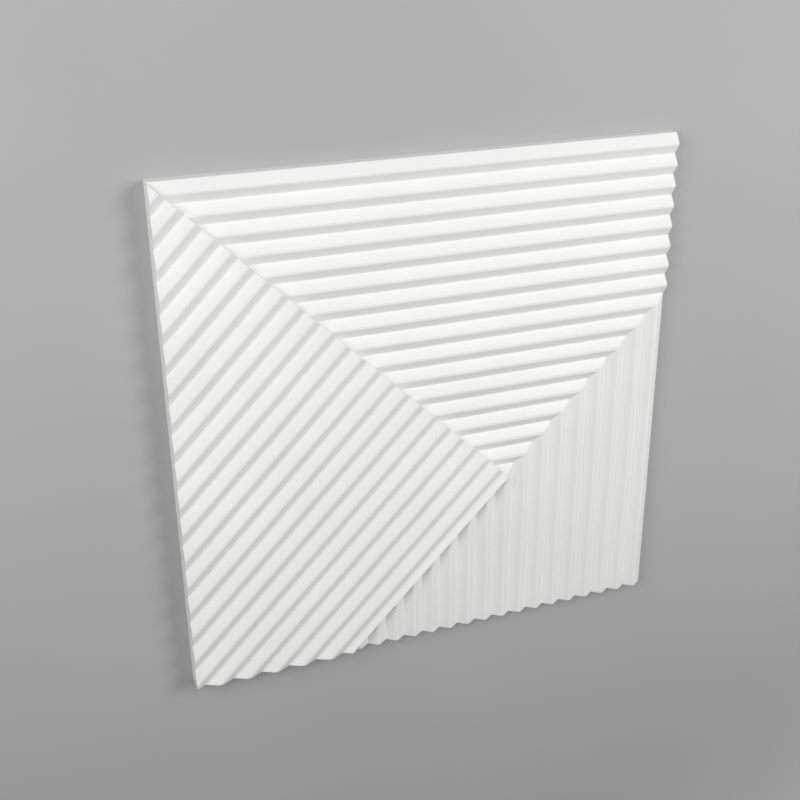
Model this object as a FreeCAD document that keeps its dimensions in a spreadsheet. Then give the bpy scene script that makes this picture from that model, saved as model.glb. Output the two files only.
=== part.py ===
import FreeCAD, Part
import math
import os

import Sketcher

# Square wall panel cast in one piece in gypsum plaster, lying on its flat back with the relief up.
# Three fields of straight ribs cover the face. Every rib has the same section: two flat flanks that
# leave sharp valleys and run tangentially into a rounded crest.
# The level ribs of the upper field turn a mitred corner into the upright ribs of the lower field.
# The slanting ribs run at 45 degrees on a field that stands sheer above the other two.
# The panel is drawn from its lower left corner, and then moved so that the centre of its back is the origin.

doc = FreeCAD.newDocument("ribbed_wall_panel")

# Driving sizes in millimetres, and one count
SIZES = [
    ("panel_side", 500),  # each edge of the square
    ("base_thickness", 12),  # from the back to the valleys of the level and the upright ribs
    ("rib_pitch", 20),  # from valley to valley, the same in all three fields
    ("rib_height", 6),  # from a valley to the top of the rounded crest
    ("crest_radius", 4),  # rounding of the crests
    ("field_rise", 6),  # how far the slanting field stands above the other two
    ("mitre_ribs", 8),  # how many ribs turn the mitred corner
]
sheet = doc.addObject("Spreadsheet::Sheet", "dims")
for row, (alias, size) in enumerate(SIZES, start=1):
    sheet.set(f"A{row}", alias)
    sheet.set(f"B{row}", str(size))
    sheet.setAlias(f"B{row}", alias)
doc.recompute()

# Formulas over the sheet that more than one feature uses
SIDE = "dims.panel_side"
MITRE_REACH = "(dims.mitre_ribs * dims.rib_pitch)"
LOW_VALLEY = "dims.base_thickness"
HIGH_VALLEY = "(dims.base_thickness + dims.field_rise)"
FULL_THICKNESS = f"({HIGH_VALLEY} + dims.rib_height)"
MEETING_X = f"(({SIDE} + {MITRE_REACH}) / 2)"
MEETING_Y = f"(({SIDE} - {MITRE_REACH}) / 2)"

# Corners of the fields, as X and Y from the panel's lower left corner
TOP_LEFT = ("0", SIDE)
TOP_RIGHT = (SIDE, SIDE)
BOTTOM_LEFT = ("0", "0")
BOTTOM_RIGHT = (SIDE, "0")
MITRE_END = (SIDE, f"({SIDE} - {MITRE_REACH})")
BORDER_END = (MITRE_REACH, "0")
MEETING_POINT = (MEETING_X, MEETING_Y)

# Numbers that stand for a sketch's own origin and axes, and for the points of an edge
ORIGIN = (-1, 1)
X_AXIS_INDEX, Y_AXIS_INDEX = -1, -2
START_INDEX, END_INDEX, CENTRE_INDEX = 1, 2, 3

MM3_PER_LITRE = 1e6


def value(formula):
    """Present value of a formula over the sheet."""
    return float(sheet.evalExpression(formula))


def origin_feature(body, role):
    """The body's own plane or axis with this role."""
    return next(feature for feature in body.Origin.OriginFeatures if feature.Role == role)


def new_sketch(body, name, plane):
    """Empty sketch on one of the body's origin planes."""
    sketch = body.newObject("Sketcher::SketchObject", name)
    sketch.AttachmentSupport = [(origin_feature(body, plane), "")]
    sketch.MapMode = "FlatFace"
    return sketch


def bind(sketch, kind, places, formula):
    """Dimension on the sketch that follows a formula over the sheet."""
    index = sketch.addConstraint(Sketcher.Constraint(kind, *places, value(formula)))
    sketch.setExpression(f"Constraints[{index}]", formula)


def join(sketch, first, second):
    """The end of one edge meets the start of the next."""
    sketch.addConstraint(Sketcher.Constraint("Coincident", first, END_INDEX, second, START_INDEX))


def draw_rib_section(sketch, valley):
    """One rib and the panel under it: a flat foot, two sides, two flanks and the rounded crest."""
    width = value("dims.rib_pitch")
    level = value(valley)
    radius = value("dims.crest_radius")
    crest_centre = FreeCAD.Vector(width / 2, level + value("dims.rib_height") - radius)
    lean = math.atan2(2 * value("dims.rib_height"), width)
    reach = FreeCAD.Vector(radius * math.sin(lean), 0)
    lift = FreeCAD.Vector(0, radius * math.cos(lean))
    outline = [
        FreeCAD.Vector(0, 0),
        FreeCAD.Vector(width, 0),
        FreeCAD.Vector(width, level),
        crest_centre + reach + lift,
        crest_centre - reach + lift,
        FreeCAD.Vector(0, level),
    ]
    crest_circle = Part.Circle(crest_centre, FreeCAD.Vector(0, 0, 1), radius)

    foot = sketch.addGeometry(Part.LineSegment(outline[0], outline[1]))
    right_side = sketch.addGeometry(Part.LineSegment(outline[1], outline[2]))
    right_flank = sketch.addGeometry(Part.LineSegment(outline[2], outline[3]))
    crest = sketch.addGeometry(Part.ArcOfCircle(crest_circle, math.pi / 2 - lean, math.pi / 2 + lean))
    left_flank = sketch.addGeometry(Part.LineSegment(outline[4], outline[5]))
    left_side = sketch.addGeometry(Part.LineSegment(outline[5], outline[0]))

    join(sketch, foot, right_side)
    join(sketch, right_side, right_flank)
    join(sketch, left_flank, left_side)
    join(sketch, left_side, foot)
    sketch.addConstraint(Sketcher.Constraint("Tangent", right_flank, END_INDEX, crest, START_INDEX))
    sketch.addConstraint(Sketcher.Constraint("Tangent", crest, END_INDEX, left_flank, START_INDEX))
    sketch.addConstraint(Sketcher.Constraint("Coincident", foot, START_INDEX, *ORIGIN))
    sketch.addConstraint(Sketcher.Constraint("Horizontal", foot))
    sketch.addConstraint(Sketcher.Constraint("Vertical", right_side))
    sketch.addConstraint(Sketcher.Constraint("Vertical", left_side))
    sketch.addConstraint(Sketcher.Constraint("Equal", right_side, left_side))
    bind(sketch, "DistanceX", (foot, START_INDEX, foot, END_INDEX), "dims.rib_pitch")
    bind(sketch, "DistanceY", (right_side, START_INDEX, right_side, END_INDEX), valley)
    bind(sketch, "Radius", (crest,), "dims.crest_radius")
    crest_centre_level = f"{valley} + dims.rib_height - dims.crest_radius"
    bind(sketch, "DistanceX", (*ORIGIN, crest, CENTRE_INDEX), "dims.rib_pitch / 2")
    bind(sketch, "DistanceY", (*ORIGIN, crest, CENTRE_INDEX), crest_centre_level)


def make_rib_row(name, valley, rib_length, rows_width, corner, turn):
    """Ribs side by side, from the valley at a corner of the panel across the width that they cover."""
    body = doc.addObject("PartDesign::Body", f"{name}_ribs")
    section = new_sketch(body, f"{name}_rib_section", "YZ_Plane")
    draw_rib_section(section, valley)
    rib = body.newObject("PartDesign::Pad", f"{name}_rib")
    rib.Profile = section
    rib.setExpression("Length", rib_length)
    ribs = body.newObject("PartDesign::LinearPattern", f"{name}_rib_row")
    ribs.Originals = [rib]
    ribs.Direction = (origin_feature(body, "Y_Axis"), [""])
    ribs.Mode = "Spacing"
    ribs.setExpression("Offset", "dims.rib_pitch")
    ribs.setExpression("Occurrences", f"ceil({rows_width} / dims.rib_pitch)")
    body.Tip = ribs
    body.Placement.Rotation = FreeCAD.Rotation(FreeCAD.Vector(0, 0, 1), turn)
    body.setExpression("Placement.Base.x", corner[0])
    body.setExpression("Placement.Base.y", corner[1])
    return body


def make_outline(name, corners):
    """Upright prism over a field's outline, through the whole thickness."""
    body = doc.addObject("PartDesign::Body", f"{name}_outline")
    sketch = new_sketch(body, f"{name}_outline_sketch", "XY_Plane")
    points = [FreeCAD.Vector(value(x), value(y)) for x, y in corners]
    edges = [
        sketch.addGeometry(Part.LineSegment(point, following))
        for point, following in zip(points, points[1:] + points[:1])
    ]
    for edge, following in zip(edges, edges[1:] + edges[:1]):
        join(sketch, edge, following)
    for edge, (x, y) in zip(edges, corners):
        if x == "0":
            sketch.addConstraint(Sketcher.Constraint("PointOnObject", edge, START_INDEX, Y_AXIS_INDEX))
        else:
            bind(sketch, "DistanceX", (*ORIGIN, edge, START_INDEX), x)
        if y == "0":
            sketch.addConstraint(Sketcher.Constraint("PointOnObject", edge, START_INDEX, X_AXIS_INDEX))
        else:
            bind(sketch, "DistanceY", (*ORIGIN, edge, START_INDEX), y)
    prism = body.newObject("PartDesign::Pad", f"{name}_prism")
    prism.Profile = sketch
    prism.setExpression("Length", FULL_THICKNESS)
    return body


def make_field(name, ribs, corners):
    """Row of ribs trimmed to its field's outline."""
    field = doc.addObject("Part::Common", f"{name}_field")
    field.Base = ribs
    field.Tool = make_outline(name, corners)
    return field


# Upper field: level ribs, counted down from a valley on the top edge
level_ribs = make_rib_row("level", LOW_VALLEY, SIDE, MEETING_X, TOP_RIGHT, turn=180)
level_field = make_field("level", level_ribs, [TOP_LEFT, MEETING_POINT, MITRE_END, TOP_RIGHT])

# Lower right field: upright ribs, counted in from a valley on the right-hand edge
upright_ribs = make_rib_row("upright", LOW_VALLEY, SIDE, MITRE_END[1], BOTTOM_RIGHT, turn=90)
upright_field = make_field("upright", upright_ribs, [MEETING_POINT, BORDER_END, BOTTOM_RIGHT, MITRE_END])

# Raised left field: slanting ribs, counted along the diagonal from a valley at the top left corner
LONGEST_SLANT = f"({SIDE} / sqrt(2))"
DIAGONAL_RUN = f"({MEETING_X} * sqrt(2))"
slanting_ribs = make_rib_row("slanting", HIGH_VALLEY, LONGEST_SLANT, DIAGONAL_RUN, TOP_LEFT, turn=225)
slanting_field = make_field("slanting", slanting_ribs, [TOP_LEFT, BOTTOM_LEFT, BORDER_END, MEETING_POINT])

# The casting: the three fields in one piece, with the centre of the back at the origin
panel = doc.addObject("Part::MultiFuse", "panel")
panel.Label = "ribbed_wall_panel"
panel.Shapes = [level_field, upright_field, slanting_field]
panel.Refine = True
panel.setExpression("Placement.Base.x", f"-{SIDE} / 2")
panel.setExpression("Placement.Base.y", f"-{SIDE} / 2")
doc.recompute()

for item in doc.Objects:
    if "Invalid" in item.State or "Error" in item.State:
        raise RuntimeError(f"{item.Label} failed: {item.State}")
if panel.Shape.isNull() or not panel.Shape.isValid():
    raise RuntimeError("the panel's shape is not valid")
if len(panel.Shape.Solids) != 1:
    raise RuntimeError(f"the panel has {len(panel.Shape.Solids)} solids")

print(f"{panel.Label}: {panel.Shape.Volume / MM3_PER_LITRE:.4f} litres, {len(panel.Shape.Faces)} faces")
os.makedirs("parts", exist_ok=True)
panel.Shape.exportStep(f"parts/{panel.Label}.step")
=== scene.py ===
# %% [markdown]
# A ribbed wall panel, cast in white gypsum plaster
#
# The real object is a square relief tile. Plaster is poured into a flexible mould, sets, and comes out
# in one piece: a flat back, and a face of straight ribs in three fields. Tiles are glued to a wall edge
# to edge. Here one lies on its back on a studio floor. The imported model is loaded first, because it
# gives the true size and place of everything that follows.

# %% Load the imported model
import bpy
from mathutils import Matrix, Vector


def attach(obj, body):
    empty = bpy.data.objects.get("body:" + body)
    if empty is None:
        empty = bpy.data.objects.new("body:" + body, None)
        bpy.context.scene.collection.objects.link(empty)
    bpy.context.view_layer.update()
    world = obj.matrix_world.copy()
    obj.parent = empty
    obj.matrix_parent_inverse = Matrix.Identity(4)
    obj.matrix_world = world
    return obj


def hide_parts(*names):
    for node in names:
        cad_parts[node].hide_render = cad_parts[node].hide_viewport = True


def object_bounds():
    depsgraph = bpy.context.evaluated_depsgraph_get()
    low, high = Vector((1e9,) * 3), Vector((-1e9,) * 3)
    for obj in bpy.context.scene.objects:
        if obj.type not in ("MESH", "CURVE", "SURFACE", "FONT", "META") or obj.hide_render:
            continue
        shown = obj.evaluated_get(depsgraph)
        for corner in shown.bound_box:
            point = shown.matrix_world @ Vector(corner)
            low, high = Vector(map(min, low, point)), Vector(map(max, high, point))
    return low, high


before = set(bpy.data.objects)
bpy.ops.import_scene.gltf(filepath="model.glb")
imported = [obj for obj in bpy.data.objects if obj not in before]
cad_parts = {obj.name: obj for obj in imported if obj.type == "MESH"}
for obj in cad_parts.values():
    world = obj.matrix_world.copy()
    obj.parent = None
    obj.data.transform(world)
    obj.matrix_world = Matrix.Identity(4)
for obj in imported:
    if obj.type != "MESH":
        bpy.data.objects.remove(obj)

cad_low, cad_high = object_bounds()
print("packed panel, mm:", [round(1000 * size, 2) for size in cad_high - cad_low])

# %% [markdown]
# The sizes of the relief
#
# The overall sizes are read from the model. The ribs are too regular to need measuring one by one: the
# side is divided into equal pitches, and one rib section serves all three fields. Its flanks are
# straight, its crest is an arc that the flanks run into, and its valleys are sharp. A bevel can only
# round a crest that is first drawn sharp, so the height of that sharp crest is worked out here from the
# height of the rounded one.

# %% Sizes in metres
import math

NODE = "ribbed_wall_panel"
SIDE = cad_high.x - cad_low.x
THICKNESS = cad_high.z - cad_low.z
PITCHES_ALONG_SIDE = 25
MITRE_RIBS = 8
RIB_PITCH = SIDE / PITCHES_ALONG_SIDE
RIB_HEIGHT = 0.006
FIELD_RISE = 0.006
CREST_RADIUS = 0.004

HALF_SIDE = SIDE / 2
HALF_PITCH = RIB_PITCH / 2
HIGH_VALLEY = THICKNESS - RIB_HEIGHT
LOW_VALLEY = HIGH_VALLEY - FIELD_RISE
BORDER_OFFSET = MITRE_RIBS * RIB_PITCH

centre_lift = RIB_HEIGHT - CREST_RADIUS
centre_reach = math.hypot(HALF_PITCH, centre_lift)
flank_angle = math.atan2(centre_lift, HALF_PITCH) + math.asin(CREST_RADIUS / centre_reach)
SHARP_HEIGHT = HALF_PITCH * math.tan(flank_angle)
CREST_TANGENT = CREST_RADIUS * math.tan(flank_angle)
print(f"flanks lean {math.degrees(flank_angle):.1f} degrees, sharp crest at {1000 * SHARP_HEIGHT:.2f} mm")

# %% [markdown]
# One rib, then a row of ribs
#
# The sharp rib is a sheet with a single fold, like a little roof. It could be cut from a block, but a
# folded sheet is easier to repeat: its two long edges are the valleys, and the next rib starts exactly
# there. A grid of two faces is stretched to the rib's size, its middle edge is lifted, and a bevel of
# that one edge rounds the crest. An array with merged vertices then lays the ribs side by side. A
# bevel's profile of 0.5 is only a true arc on a square edge, so the profile is worked out that brings
# this blunter crest to its real height.

# %% Make a row of ribs
import bpy
import bmesh

CREST_SEGMENTS = 12
MERGE_DISTANCE = 0.00001

chord_height = SHARP_HEIGHT - CREST_TANGENT * math.sin(flank_angle)
crest_share = (RIB_HEIGHT - chord_height) / (SHARP_HEIGHT - chord_height)
CREST_PROFILE = ((1 + crest_share) / 2) ** 2


def select_only(piece):
    """Nothing but this piece is selected and active."""
    bpy.ops.object.select_all(action="DESELECT")
    piece.select_set(True)
    bpy.context.view_layer.objects.active = piece


def select_edges(piece, wanted):
    """In edit mode, selects the edges that the test picks, and says how many there are."""
    bpy.ops.mesh.select_mode(type="EDGE")
    bpy.ops.mesh.select_all(action="DESELECT")
    skin = bmesh.from_edit_mesh(piece.data)
    picked = [edge for edge in skin.edges if wanted(edge)]
    for edge in picked:
        edge.select_set(True)
    bmesh.update_edit_mesh(piece.data)
    return len(picked)


def along_middle(edge):
    """Whether an edge runs along the middle of the first rib."""
    return all(abs(vertex.co.y - HALF_PITCH) < MERGE_DISTANCE for vertex in edge.verts)


def rib_row(name, start_x, length, count):
    """Ribs along X from start_x, side by side along Y from zero, with their valleys at zero height."""
    bpy.ops.object.select_all(action="DESELECT")
    bpy.ops.mesh.primitive_grid_add(
        x_subdivisions=1, y_subdivisions=2, size=1, location=(start_x + length / 2, HALF_PITCH, 0)
    )
    row = bpy.context.object
    row.name = name
    row.scale = (length, RIB_PITCH, 1)
    bpy.ops.object.transform_apply(location=True, rotation=True, scale=True)

    bpy.ops.object.mode_set(mode="EDIT")
    select_edges(row, along_middle)
    bpy.ops.transform.translate(value=(0, 0, SHARP_HEIGHT))
    bpy.ops.mesh.bevel(
        offset=CREST_TANGENT, segments=CREST_SEGMENTS, profile=CREST_PROFILE, affect="EDGES"
    )
    bpy.ops.object.mode_set(mode="OBJECT")

    repeat = row.modifiers.new("repeat", "ARRAY")
    repeat.count = count
    repeat.use_relative_offset = False
    repeat.use_constant_offset = True
    repeat.constant_offset_displace = (0, RIB_PITCH, 0)
    repeat.use_merge_vertices = True
    repeat.merge_threshold = MERGE_DISTANCE
    bpy.ops.object.modifier_apply(modifier=repeat.name)
    highest = max(vertex.co.z for vertex in row.data.vertices)
    print(f"{name}: {count} ribs, crests at {1000 * highest:.3f} mm")
    return row


# %% [markdown]
# Three rows in their places
#
# The upper field's ribs lie level and are counted down from the top edge. The lower right field's ribs
# stand upright and are counted in from the right-hand edge. The raised field's ribs slant at 45 degrees
# and are counted from the top left corner along the diagonal. Each row is made the same way, a little
# too long, and is then turned about its zero point and moved so that this point lies at the corner where
# its counting starts.

# %% Lay the three rows
SPARE = RIB_PITCH
ROW_LENGTH = SIDE + 2 * SPARE


def lay_row(name, turn, corner, level):
    """A row of ribs turned about Z, with its zero point at a corner and its valleys at a level."""
    row = rib_row(name, -SPARE, ROW_LENGTH, PITCHES_ALONG_SIDE)
    row.rotation_euler = (0, 0, math.radians(turn))
    row.location = (*corner, level)
    select_only(row)
    bpy.ops.object.transform_apply(location=True, rotation=True, scale=True)
    return row


top_right, bottom_right = (HALF_SIDE, HALF_SIDE), (HALF_SIDE, -HALF_SIDE)
top_left = (-HALF_SIDE, HALF_SIDE)
level_ribs = lay_row("level_ribs", turn=180, corner=top_right, level=LOW_VALLEY)
upright_ribs = lay_row("upright_ribs", turn=90, corner=bottom_right, level=LOW_VALLEY)
slanting_ribs = lay_row("slanting_ribs", turn=225, corner=top_left, level=HIGH_VALLEY)

# %% [markdown]
# Three fields, cut like mouldings
#
# On the panel, the lower level ribs turn a square corner and go on as upright ribs. A joiner would cut
# both mouldings at 45 degrees and butt them, and the same is done here: upright planes bisect the rows,
# each row keeps its own side, and merging the vertices along the mitre closes it. The slanting row is
# cut along the panel's diagonal and along the mitre's line. Boolean cutters would do it too, but they
# tend to leave slivers where their faces meet crests and valleys exactly, as they do along the mitre.

# %% Cut the rows to their fields
CUT_THRESHOLD = MERGE_DISTANCE / 10
MITRE = ((BORDER_OFFSET / 2, -BORDER_OFFSET / 2, 0), (1, -1, 0))
DIAGONAL = ((0, 0, 0), (1, 1, 0))
LEFT = ((-HALF_SIDE, 0, 0), (-1, 0, 0))
RIGHT = ((HALF_SIDE, 0, 0), (1, 0, 0))
TOP = ((0, HALF_SIDE, 0), (0, 1, 0))
BOTTOM = ((0, -HALF_SIDE, 0), (0, -1, 0))


def cut(piece, plane, keep_far_side=False):
    """Saws a sheet along a plane and throws away the side that the plane faces, or else the other."""
    select_only(piece)
    bpy.ops.object.mode_set(mode="EDIT")
    bpy.ops.mesh.select_all(action="SELECT")
    bpy.ops.mesh.bisect(
        plane_co=plane[0],
        plane_no=plane[1],
        clear_inner=keep_far_side,
        clear_outer=not keep_far_side,
        threshold=CUT_THRESHOLD,
    )
    bpy.ops.object.mode_set(mode="OBJECT")


cut(level_ribs, MITRE)
cut(level_ribs, DIAGONAL, keep_far_side=True)
cut(level_ribs, RIGHT)
cut(upright_ribs, MITRE, keep_far_side=True)
cut(upright_ribs, BOTTOM)
cut(slanting_ribs, MITRE)
cut(slanting_ribs, DIAGONAL)
cut(slanting_ribs, LEFT)
cut(slanting_ribs, BOTTOM)
for field in (level_ribs, upright_ribs, slanting_ribs):
    print(f"{field.name}: {len(field.data.polygons)} faces after its cuts")

# %% [markdown]
# One casting with a back
#
# The plaster is one lump, so the parts of its skin have to be one closed mesh. Left as objects that only
# touch, they would be open shells with no inside. The three sheets are joined to a plain square, which
# is the back, and the vertices that lie on each other along the mitre are merged.

# %% Join the sheets to a back
bpy.ops.object.select_all(action="DESELECT")
bpy.ops.mesh.primitive_plane_add(size=SIDE, location=(0, 0, cad_low.z))
panel = bpy.context.object
panel.name = "plaster_panel"
for field in (level_ribs, upright_ribs, slanting_ribs):
    field.select_set(True)
bpy.ops.object.join()
bpy.ops.object.transform_apply(location=True, rotation=True, scale=True)

bpy.ops.object.mode_set(mode="EDIT")
bpy.ops.mesh.select_all(action="SELECT")
bpy.ops.mesh.remove_doubles(threshold=MERGE_DISTANCE)
bpy.ops.object.mode_set(mode="OBJECT")
print("faces of the relief and the back:", len(panel.data.polygons))

# %% [markdown]
# The upright walls
#
# What is still missing is upright: the four outer edges, and the sheer step round the raised field. Each
# of these is flat, so it can be one face, however wavy its outline is. A short post is drawn wherever
# two levels stop above each other. Every wall's outline is then closed, and filling the open edges that
# lie in a wall's plane makes the wall. Bridging edge loops works best with as many vertices above as
# below, which no wall has.

# %% Close the panel
from mathutils import Vector


def stands_at(vertex, place):
    """Whether a vertex stands straight above a place on the back."""
    return (vertex.co.xy - Vector(place)).length < MERGE_DISTANCE


def add_posts(piece, place):
    """Joins the vertices above one place, each to the next one up, and says how many there are."""
    skin = bmesh.from_edit_mesh(piece.data)
    levels = sorted(vertex.co.z for vertex in skin.verts if stands_at(vertex, place))
    bpy.ops.mesh.select_mode(type="VERT")
    for low, high in zip(levels, levels[1:]):
        bpy.ops.mesh.select_all(action="DESELECT")
        skin = bmesh.from_edit_mesh(piece.data)
        for vertex in skin.verts:
            if stands_at(vertex, place) and low <= vertex.co.z <= high:
                vertex.select_set(True)
        bmesh.update_edit_mesh(piece.data)
        bpy.ops.mesh.edge_face_add()
    return len(levels)


def fill_wall(piece, plane):
    """Fills the open edges in an upright plane with one face, and says how many edges there are."""
    point, normal = Vector(plane[0]), Vector(plane[1]).normalized()

    def open_in_plane(edge):
        in_plane = all(abs((vertex.co - point).dot(normal)) < MERGE_DISTANCE for vertex in edge.verts)
        return in_plane and len(edge.link_faces) < 2

    count = select_edges(piece, open_in_plane)
    bpy.ops.mesh.edge_face_add()
    return count


MEETING_POINT = (BORDER_OFFSET / 2, -BORDER_OFFSET / 2)
BORDER_END = (BORDER_OFFSET - HALF_SIDE, -HALF_SIDE)
corners = [(x, y) for x in (-HALF_SIDE, HALF_SIDE) for y in (-HALF_SIDE, HALF_SIDE)]

select_only(panel)
bpy.ops.object.mode_set(mode="EDIT")
for place in (*corners, MEETING_POINT, BORDER_END):
    level_count = add_posts(panel, place)
    print(f"posts at {place[0]:.3f}, {place[1]:.3f} m join {level_count} levels")
for plane in (LEFT, RIGHT, TOP, BOTTOM, DIAGONAL, MITRE):
    edge_count = fill_wall(panel, plane)
    print(f"wall facing {plane[1]}: {edge_count} edges")
bpy.ops.mesh.select_all(action="SELECT")
bpy.ops.mesh.normals_make_consistent(inside=False)
bpy.ops.object.mode_set(mode="OBJECT")
print("faces of the closed panel:", len(panel.data.polygons))

# %% [markdown]
# Soft arrises
#
# A cast edge is never a knife edge, because the mould's own corners are slightly round. The edges to
# soften are those where an outer wall or the back meets something at an outward corner. The valleys and
# the mitre stay crisp, as they come out of the mould. So does the rim of the raised field, because the
# ribs of both levels nearly touch there, and a bevel would cut through them. One bevel does all the
# outer edges, and weighted normals then let the large flat faces stay flat while the bevels and crests
# shade smoothly.

# %% Soften the outer edges
ARRIS = 0.0003
ARRIS_SEGMENTS = 3
ARRIS_PROFILE = 0.5
SMOOTH_ANGLE = math.radians(36)
ALONG_AXIS = 0.99


def is_arris(edge):
    """An outward edge of an outer wall or of the back."""
    for face in edge.link_faces:
        outer_wall = max(abs(face.normal.x), abs(face.normal.y)) > ALONG_AXIS
        back = face.normal.z < -ALONG_AXIS
        if outer_wall or back:
            return edge.is_convex
    return False


select_only(panel)
bpy.ops.object.mode_set(mode="EDIT")
arris_count = select_edges(panel, is_arris)
print("arris edges:", arris_count)
bpy.ops.mesh.bevel(
    offset=ARRIS,
    segments=ARRIS_SEGMENTS,
    profile=ARRIS_PROFILE,
    affect="EDGES",
    clamp_overlap=False,
    loop_slide=True,
)
bpy.ops.object.mode_set(mode="OBJECT")

bpy.ops.object.shade_smooth_by_angle(angle=SMOOTH_ANGLE)
flatten = panel.modifiers.new("flatten", "WEIGHTED_NORMAL")
flatten.keep_sharp = True
bpy.ops.object.modifier_apply(modifier=flatten.name)
print("faces of the finished panel:", len(panel.data.polygons))

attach(panel, "root")
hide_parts(NODE)

# %% [markdown]
# Uneven tone
#
# No painted or cast surface has quite the same tone all over. Plaster dries in cloudy patches, and floor
# paint is a little thicker here and thinner there. Both are a soft noise that mixes two close tones, so
# it is made once as a node group, and each material gives it its own two tones and its own size of
# patch. The noise reads object coordinates, which are metres here, so its scale is simply the number of
# patches to a metre. A noise seldom comes near zero or one, so the middle of its range is spread over
# both tones.

# %% Make the group for uneven tone
PATCH_DETAIL = 3
NOISE_LOW, NOISE_HIGH = 0.3, 0.7


def new_node(tree, kind, settings):
    """Adds a node to a tree and sets its inputs by their names."""
    node = tree.nodes.new(kind)
    for name, setting in settings.items():
        node.inputs[name].default_value = setting
    return node


def uneven_tone_group():
    """Two tones mixed in soft patches."""
    group = bpy.data.node_groups.new("uneven_tone", "ShaderNodeTree")
    for name, kind in (("Light", "Color"), ("Dark", "Color"), ("Patches", "Float")):
        group.interface.new_socket(name, in_out="INPUT", socket_type=f"NodeSocket{kind}")
    group.interface.new_socket("Tone", in_out="OUTPUT", socket_type="NodeSocketColor")
    given = group.nodes.new("NodeGroupInput")
    result = group.nodes.new("NodeGroupOutput")
    place = group.nodes.new("ShaderNodeTexCoord")
    patches = new_node(group, "ShaderNodeTexNoise", {"Detail": PATCH_DETAIL})
    spread = new_node(group, "ShaderNodeMapRange", {"From Min": NOISE_LOW, "From Max": NOISE_HIGH})
    blend = group.nodes.new("ShaderNodeMixRGB")

    group.links.new(place.outputs["Object"], patches.inputs["Vector"])
    group.links.new(given.outputs["Patches"], patches.inputs["Scale"])
    group.links.new(patches.outputs["Fac"], spread.inputs["Value"])
    group.links.new(spread.outputs["Result"], blend.inputs["Fac"])
    group.links.new(given.outputs["Dark"], blend.inputs["Color1"])
    group.links.new(given.outputs["Light"], blend.inputs["Color2"])
    group.links.new(blend.outputs["Color"], result.inputs["Tone"])
    return group


def add_uneven_tone(tree, light, dark, patches):
    """Places the group in a material with its own two tones and size of patch."""
    node = tree.nodes.new("ShaderNodeGroup")
    node.node_tree = uneven_tone
    node.inputs["Light"].default_value = (*light, 1)
    node.inputs["Dark"].default_value = (*dark, 1)
    node.inputs["Patches"].default_value = patches
    return node.outputs["Tone"]


uneven_tone = uneven_tone_group()
print("group sockets:", [socket.name for socket in uneven_tone.interface.items_tree])

# %% [markdown]
# Pinholes and grain
#
# White plaster is matt and almost even. What keeps it from looking like paper is a grain finer than a
# millimetre, and a few pinholes where air bubbles were caught against the mould. Both are too small to
# model. A bubble is a ball in the plaster that the surface happens to cut, and a Voronoi pattern in
# space gives just that: each of its cells has one point with a small ball round it, and the surface cuts
# only a few of the balls, some through the middle and some near the rim.

# %% Pinholes and grain
BUBBLES_PER_METRE = 115
BUBBLE_RADIUS = 0.0004
GRAINS_PER_METRE = 1300
GRAIN_DETAIL = 2
GRAIN_HARSHNESS = 0.6


def add_pinholes(tree, place):
    """A mask that is one in a pinhole and zero elsewhere."""
    bubbles = new_node(tree, "ShaderNodeTexVoronoi", {"Scale": BUBBLES_PER_METRE})
    rim = BUBBLE_RADIUS * BUBBLES_PER_METRE
    limits = {"From Min": rim / 2, "From Max": rim, "To Min": 1, "To Max": 0}
    mask = new_node(tree, "ShaderNodeMapRange", limits)
    tree.links.new(place.outputs["Object"], bubbles.inputs["Vector"])
    tree.links.new(bubbles.outputs["Distance"], mask.inputs["Value"])
    return mask.outputs["Result"]


def add_grain(tree, place):
    """Fine powdery noise."""
    size = {"Scale": GRAINS_PER_METRE, "Detail": GRAIN_DETAIL, "Roughness": GRAIN_HARSHNESS}
    grain = new_node(tree, "ShaderNodeTexNoise", size)
    tree.links.new(place.outputs["Object"], grain.inputs["Vector"])
    return grain.outputs["Fac"]


print(f"cells of {1000 / BUBBLES_PER_METRE:.1f} mm with a bubble in each")
print(f"grains of {1000 / GRAINS_PER_METRE:.2f} mm")

# %% [markdown]
# Strokes on the back
#
# The back never touched the mould. It is the open side of the pour, drawn level with a straightedge,
# which leaves faint strokes from side to side. A noise that is stretched along X gives them. A second
# material would need the back's faces set apart, so the height above the floor masks the strokes
# instead, and the ribs and the edges stay free of them.

# %% Strokes on the back
STROKES_PER_METRE = 150
STROKE_STRETCH = 0.03
STROKE_DETAIL = 2


def add_math(tree, operation, first, second):
    """Places a Math node that works on two values, and gives its result."""
    node = tree.nodes.new("ShaderNodeMath")
    node.operation = operation
    tree.links.new(first, node.inputs[0])
    tree.links.new(second, node.inputs[1])
    return node.outputs["Value"]


def add_strokes(tree, place):
    """Streaks along X on the underside, and zero everywhere else."""
    along = new_node(tree, "ShaderNodeMapping", {"Scale": (STROKE_STRETCH, 1, 1)})
    streaks = new_node(tree, "ShaderNodeTexNoise", {"Scale": STROKES_PER_METRE, "Detail": STROKE_DETAIL})
    height = tree.nodes.new("ShaderNodeSeparateXYZ")
    limits = {"From Min": 0, "From Max": ARRIS / 2, "To Min": 1, "To Max": 0}
    on_back = new_node(tree, "ShaderNodeMapRange", limits)
    tree.links.new(place.outputs["Object"], along.inputs["Vector"])
    tree.links.new(along.outputs["Vector"], streaks.inputs["Vector"])
    tree.links.new(place.outputs["Object"], height.inputs["Vector"])
    tree.links.new(height.outputs["Z"], on_back.inputs["Value"])
    return add_math(tree, "MULTIPLY", streaks.outputs["Fac"], on_back.outputs["Result"])


stroke_width = 1 / STROKES_PER_METRE
print(f"strokes {1000 * stroke_width:.1f} mm wide and {stroke_width / STROKE_STRETCH:.2f} m long")

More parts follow.
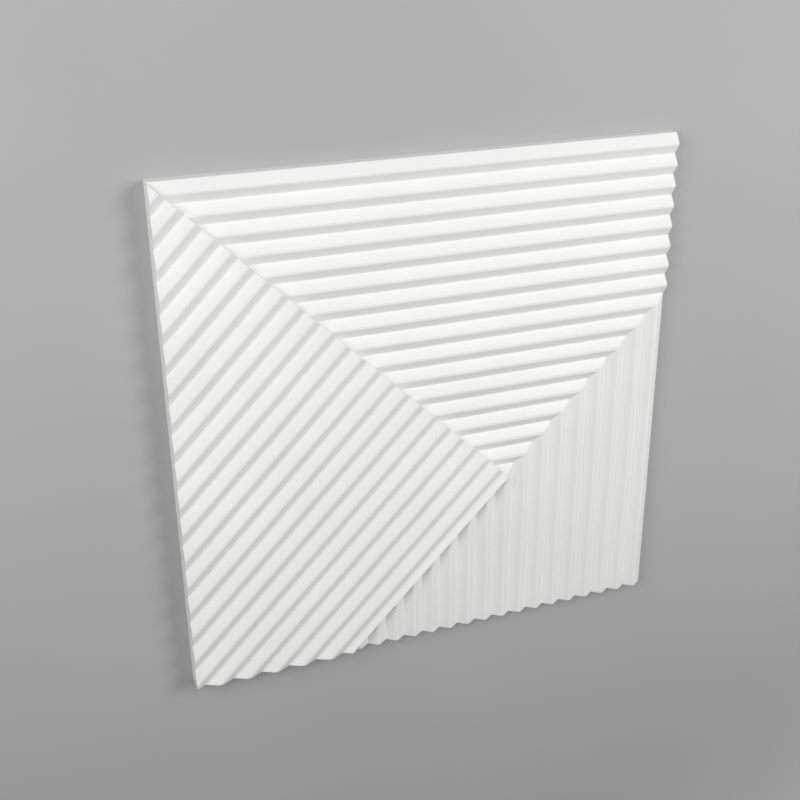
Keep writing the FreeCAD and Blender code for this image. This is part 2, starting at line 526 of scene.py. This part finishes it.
# %% [markdown]
# Cast plaster
#
# The plaster brings these together. Its colour is the cloudy tone, darkened in the pinholes as a painted
# shade for their hollows. Its roughness follows the grain, so that no part of it shines, and its shading
# normal is bent by the grain, the pinholes and the strokes in turn, each with its real depth.
# Displacement would move the surface itself, but depths of a few tenths of a millimetre don't show in the
# outline.

# %% Make the plaster
PLASTER_LIGHT = (0.885, 0.885, 0.88)
PLASTER_DARK = (0.855, 0.855, 0.85)
PINHOLE_PAINTED_SHADE = (0.6, 0.6, 0.58)
PATCHES_PER_METRE = 11
SMOOTHEST, ROUGHEST = 0.8, 0.98
PLASTER_SPECULAR = 0.3
GRAIN_DEPTH = 0.00005
PINHOLE_DEPTH = 0.0003
STROKE_DEPTH = 0.0002


def cast_plaster():
    """Matt white plaster with cloudy patches, a fine grain, pinholes, and strokes on its back."""
    material = bpy.data.materials.new("cast_plaster")
    material.use_nodes = True
    tree = material.node_tree
    links = tree.links
    shader = tree.nodes["Principled BSDF"]
    shader.inputs["Specular IOR Level"].default_value = PLASTER_SPECULAR
    place = tree.nodes.new("ShaderNodeTexCoord")
    tone = add_uneven_tone(tree, PLASTER_LIGHT, PLASTER_DARK, PATCHES_PER_METRE)
    grain = add_grain(tree, place)
    pinholes = add_pinholes(tree, place)
    strokes = add_strokes(tree, place)

    # Painted shade: the colour is darkened in each pinhole, where the hollow would lie in shade.
    shade = new_node(tree, "ShaderNodeMixRGB", {"Color2": (*PINHOLE_PAINTED_SHADE, 1)})
    links.new(pinholes, shade.inputs["Fac"])
    links.new(tone, shade.inputs["Color1"])
    links.new(shade.outputs["Color"], shader.inputs["Base Color"])

    matt = new_node(tree, "ShaderNodeMapRange", {"To Min": SMOOTHEST, "To Max": ROUGHEST})
    links.new(grain, matt.inputs["Value"])
    links.new(matt.outputs["Result"], shader.inputs["Roughness"])

    bump = new_node(tree, "ShaderNodeBump", {"Strength": 1, "Distance": GRAIN_DEPTH})
    links.new(grain, bump.inputs["Height"])
    for height, depth, hollow in ((pinholes, PINHOLE_DEPTH, True), (strokes, STROKE_DEPTH, False)):
        further_bump = new_node(tree, "ShaderNodeBump", {"Strength": 1, "Distance": depth})
        further_bump.invert = hollow
        links.new(height, further_bump.inputs["Height"])
        links.new(bump.outputs["Normal"], further_bump.inputs["Normal"])
        bump = further_bump
    links.new(bump.outputs["Normal"], shader.inputs["Normal"])
    return material


panel.data.materials.append(cast_plaster())
print("plaster nodes:", len(panel.data.materials[0].node_tree.nodes))

# %% [markdown]
# A plain floor
#
# The panel is white, so it needs a floor that is paler than its shadow and darker than its sides, or the
# edges would be lost. A matt light grey does it. The paint uses the same uneven tone as the plaster,
# with patches as wide as a roller. The lamps don't reach far, and from a low angle the floor would end
# in a dark band. So further out it fades to the tone of the room. Light Path tells what the camera sees,
# directly or by gloss or through glass, from the plain light between things, which has no part in the
# fade.

# %% Lay the floor
FLOOR_SIDE = 12
FLOOR_LIGHT = (0.46, 0.46, 0.46)
FLOOR_DARK = (0.44, 0.44, 0.44)
FLOOR_PATCHES_PER_METRE = 3
FLOOR_ROUGHNESS = 0.9
FLOOR_SPECULAR = 0.2
ROOM_TONE = 0.5
FADE_START, FADE_END = 0.55, 1.4


def add_seen_mask(tree):
    """One for the camera's rays and for what gloss or glass would show it, zero for plain light."""
    ray = tree.nodes.new("ShaderNodeLightPath").outputs
    mirrored = add_math(tree, "MAXIMUM", ray["Is Glossy Ray"], ray["Is Transmission Ray"])
    return add_math(tree, "MAXIMUM", ray["Is Camera Ray"], mirrored)


def add_far_mask(tree):
    """A mask that grows from zero to one with the distance from the panel, where the floor is seen."""
    place = tree.nodes.new("ShaderNodeTexCoord")
    distance = tree.nodes.new("ShaderNodeVectorMath")
    distance.operation = "LENGTH"
    fade = new_node(tree, "ShaderNodeMapRange", {"From Min": FADE_START, "From Max": FADE_END})
    fade.interpolation_type = "SMOOTHSTEP"
    tree.links.new(place.outputs["Object"], distance.inputs[0])
    tree.links.new(distance.outputs["Value"], fade.inputs["Value"])
    return add_math(tree, "MULTIPLY", fade.outputs["Result"], add_seen_mask(tree))


def floor_paint():
    """Matt light grey paint, very slightly uneven, which fades to the tone of the room."""
    material = bpy.data.materials.new("floor_paint")
    material.use_nodes = True
    tree = material.node_tree
    shader = tree.nodes["Principled BSDF"]
    shader.inputs["Roughness"].default_value = FLOOR_ROUGHNESS
    shader.inputs["Specular IOR Level"].default_value = FLOOR_SPECULAR
    tone = add_uneven_tone(tree, FLOOR_LIGHT, FLOOR_DARK, FLOOR_PATCHES_PER_METRE)
    tree.links.new(tone, shader.inputs["Base Color"])

    room = new_node(tree, "ShaderNodeEmission", {"Strength": ROOM_TONE})
    blend = tree.nodes.new("ShaderNodeMixShader")
    tree.links.new(add_far_mask(tree), blend.inputs["Fac"])
    tree.links.new(shader.outputs["BSDF"], blend.inputs[1])
    tree.links.new(room.outputs["Emission"], blend.inputs[2])
    tree.links.new(blend.outputs["Shader"], tree.nodes["Material Output"].inputs["Surface"])
    return material


bpy.ops.object.select_all(action="DESELECT")
bpy.ops.mesh.primitive_plane_add(size=FLOOR_SIDE, location=(0, 0, cad_low.z))
floor = bpy.context.object
floor.name = "studio_floor"
floor.data.materials.append(floor_paint())
print(f"floor: {FLOOR_SIDE} m square at {cad_low.z:.3f} m")

# %% [markdown]
# Two soft lamps
#
# Relief is seen by the difference between its flanks, so light from straight above would flatten it. A
# strong lamp stands high at the right, beyond the top edge, and brightens the flanks of the level ribs
# that face it. A weaker lamp stands lower at the left and brightens the slanting flanks that face that
# way. Both are half as wide as they are far, which keeps the shadows soft. The powers are chosen so that
# the brightest flanks stay just below white.

# %% Hang the lamps
LAMP_DISTANCE = 1.5
LAMP_SIDE = LAMP_DISTANCE / 2


def hang_lamp(name, elevation, azimuth, power):
    """Square soft lamp aimed at the panel, its direction in degrees above the floor and round from +X."""
    climb, bearing = math.radians(elevation), math.radians(azimuth)
    level = math.cos(climb)
    towards = Vector((level * math.cos(bearing), level * math.sin(bearing), math.sin(climb)))
    facing = towards.to_track_quat("Z", "Y").to_euler()
    bpy.ops.object.light_add(type="AREA", location=LAMP_DISTANCE * towards, rotation=facing)
    lamp = bpy.context.object
    lamp.name = name
    lamp.data.size = LAMP_SIDE
    lamp.data.energy = power
    print(f"{name}: {power} W at {[round(part, 2) for part in lamp.location]} m")


hang_lamp("right_lamp", elevation=48, azimuth=34, power=11.4)
hang_lamp("left_lamp", elevation=36, azimuth=146, power=9.2)

# %% [markdown]
# A white room
#
# A pale room gives back light from all sides, which fills the shadows. More lamps could do that too, but
# each would throw a shadow of its own. A world of plain white light stands for the room instead. What
# the camera sees of it is shown in the tone of the room, which is the tone that the floor fades to. The
# standard view transform shows colours as they are written.

# %% Light the room
ROOM_LIGHT = 0.29


def white_room():
    """Even white light, with the tone of the room where the camera looks past the floor."""
    room = bpy.data.worlds.new("white_room")
    room.use_nodes = True
    tree = room.node_tree
    background = tree.nodes["Background"]
    background.inputs["Color"].default_value = (1, 1, 1, 1)
    strength = new_node(tree, "ShaderNodeMapRange", {"To Min": ROOM_LIGHT, "To Max": ROOM_TONE})
    tree.links.new(add_seen_mask(tree), strength.inputs["Value"])
    tree.links.new(strength.outputs["Result"], background.inputs["Strength"])
    return room


bpy.context.scene.world = white_room()
bpy.context.scene.view_settings.view_transform = "Standard"
print(f"room light {ROOM_LIGHT}, room tone {ROOM_TONE}")

# %% [markdown]
# The camera
#
# The panel is looked down on from beyond its top left corner, about a metre above the floor, with a
# slightly long lens, so that its edges draw together a little to the right and below. A camera looks
# along its own -Z. Its axes are worked out from where it stands, what it looks at, and the direction
# that should point up in the picture, which is the panel's +Y. A roll of about half a degree comes on
# top.

# %% Place the camera
from mathutils import Matrix

EYE = Vector((-0.38660, 0.48125, 0.96688))
AIM = Vector((-0.03408, 0.02257, 0.018))
PICTURE_UP = Vector((0, 1, 0))
ROLL = math.radians(-0.62)
LENS = 53.03

forward = (AIM - EYE).normalized()
right = forward.cross(PICTURE_UP).normalized()
up = right.cross(forward)
turn = Matrix((right, up, -forward)).transposed() @ Matrix.Rotation(ROLL, 3, "Z")
bpy.ops.object.camera_add(location=EYE, rotation=turn.to_euler())
camera = bpy.context.object
camera.data.lens = LENS
bpy.context.scene.camera = camera
print(f"camera {(AIM - EYE).length:.2f} m from its aim, {camera.data.lens:.0f} mm lens")
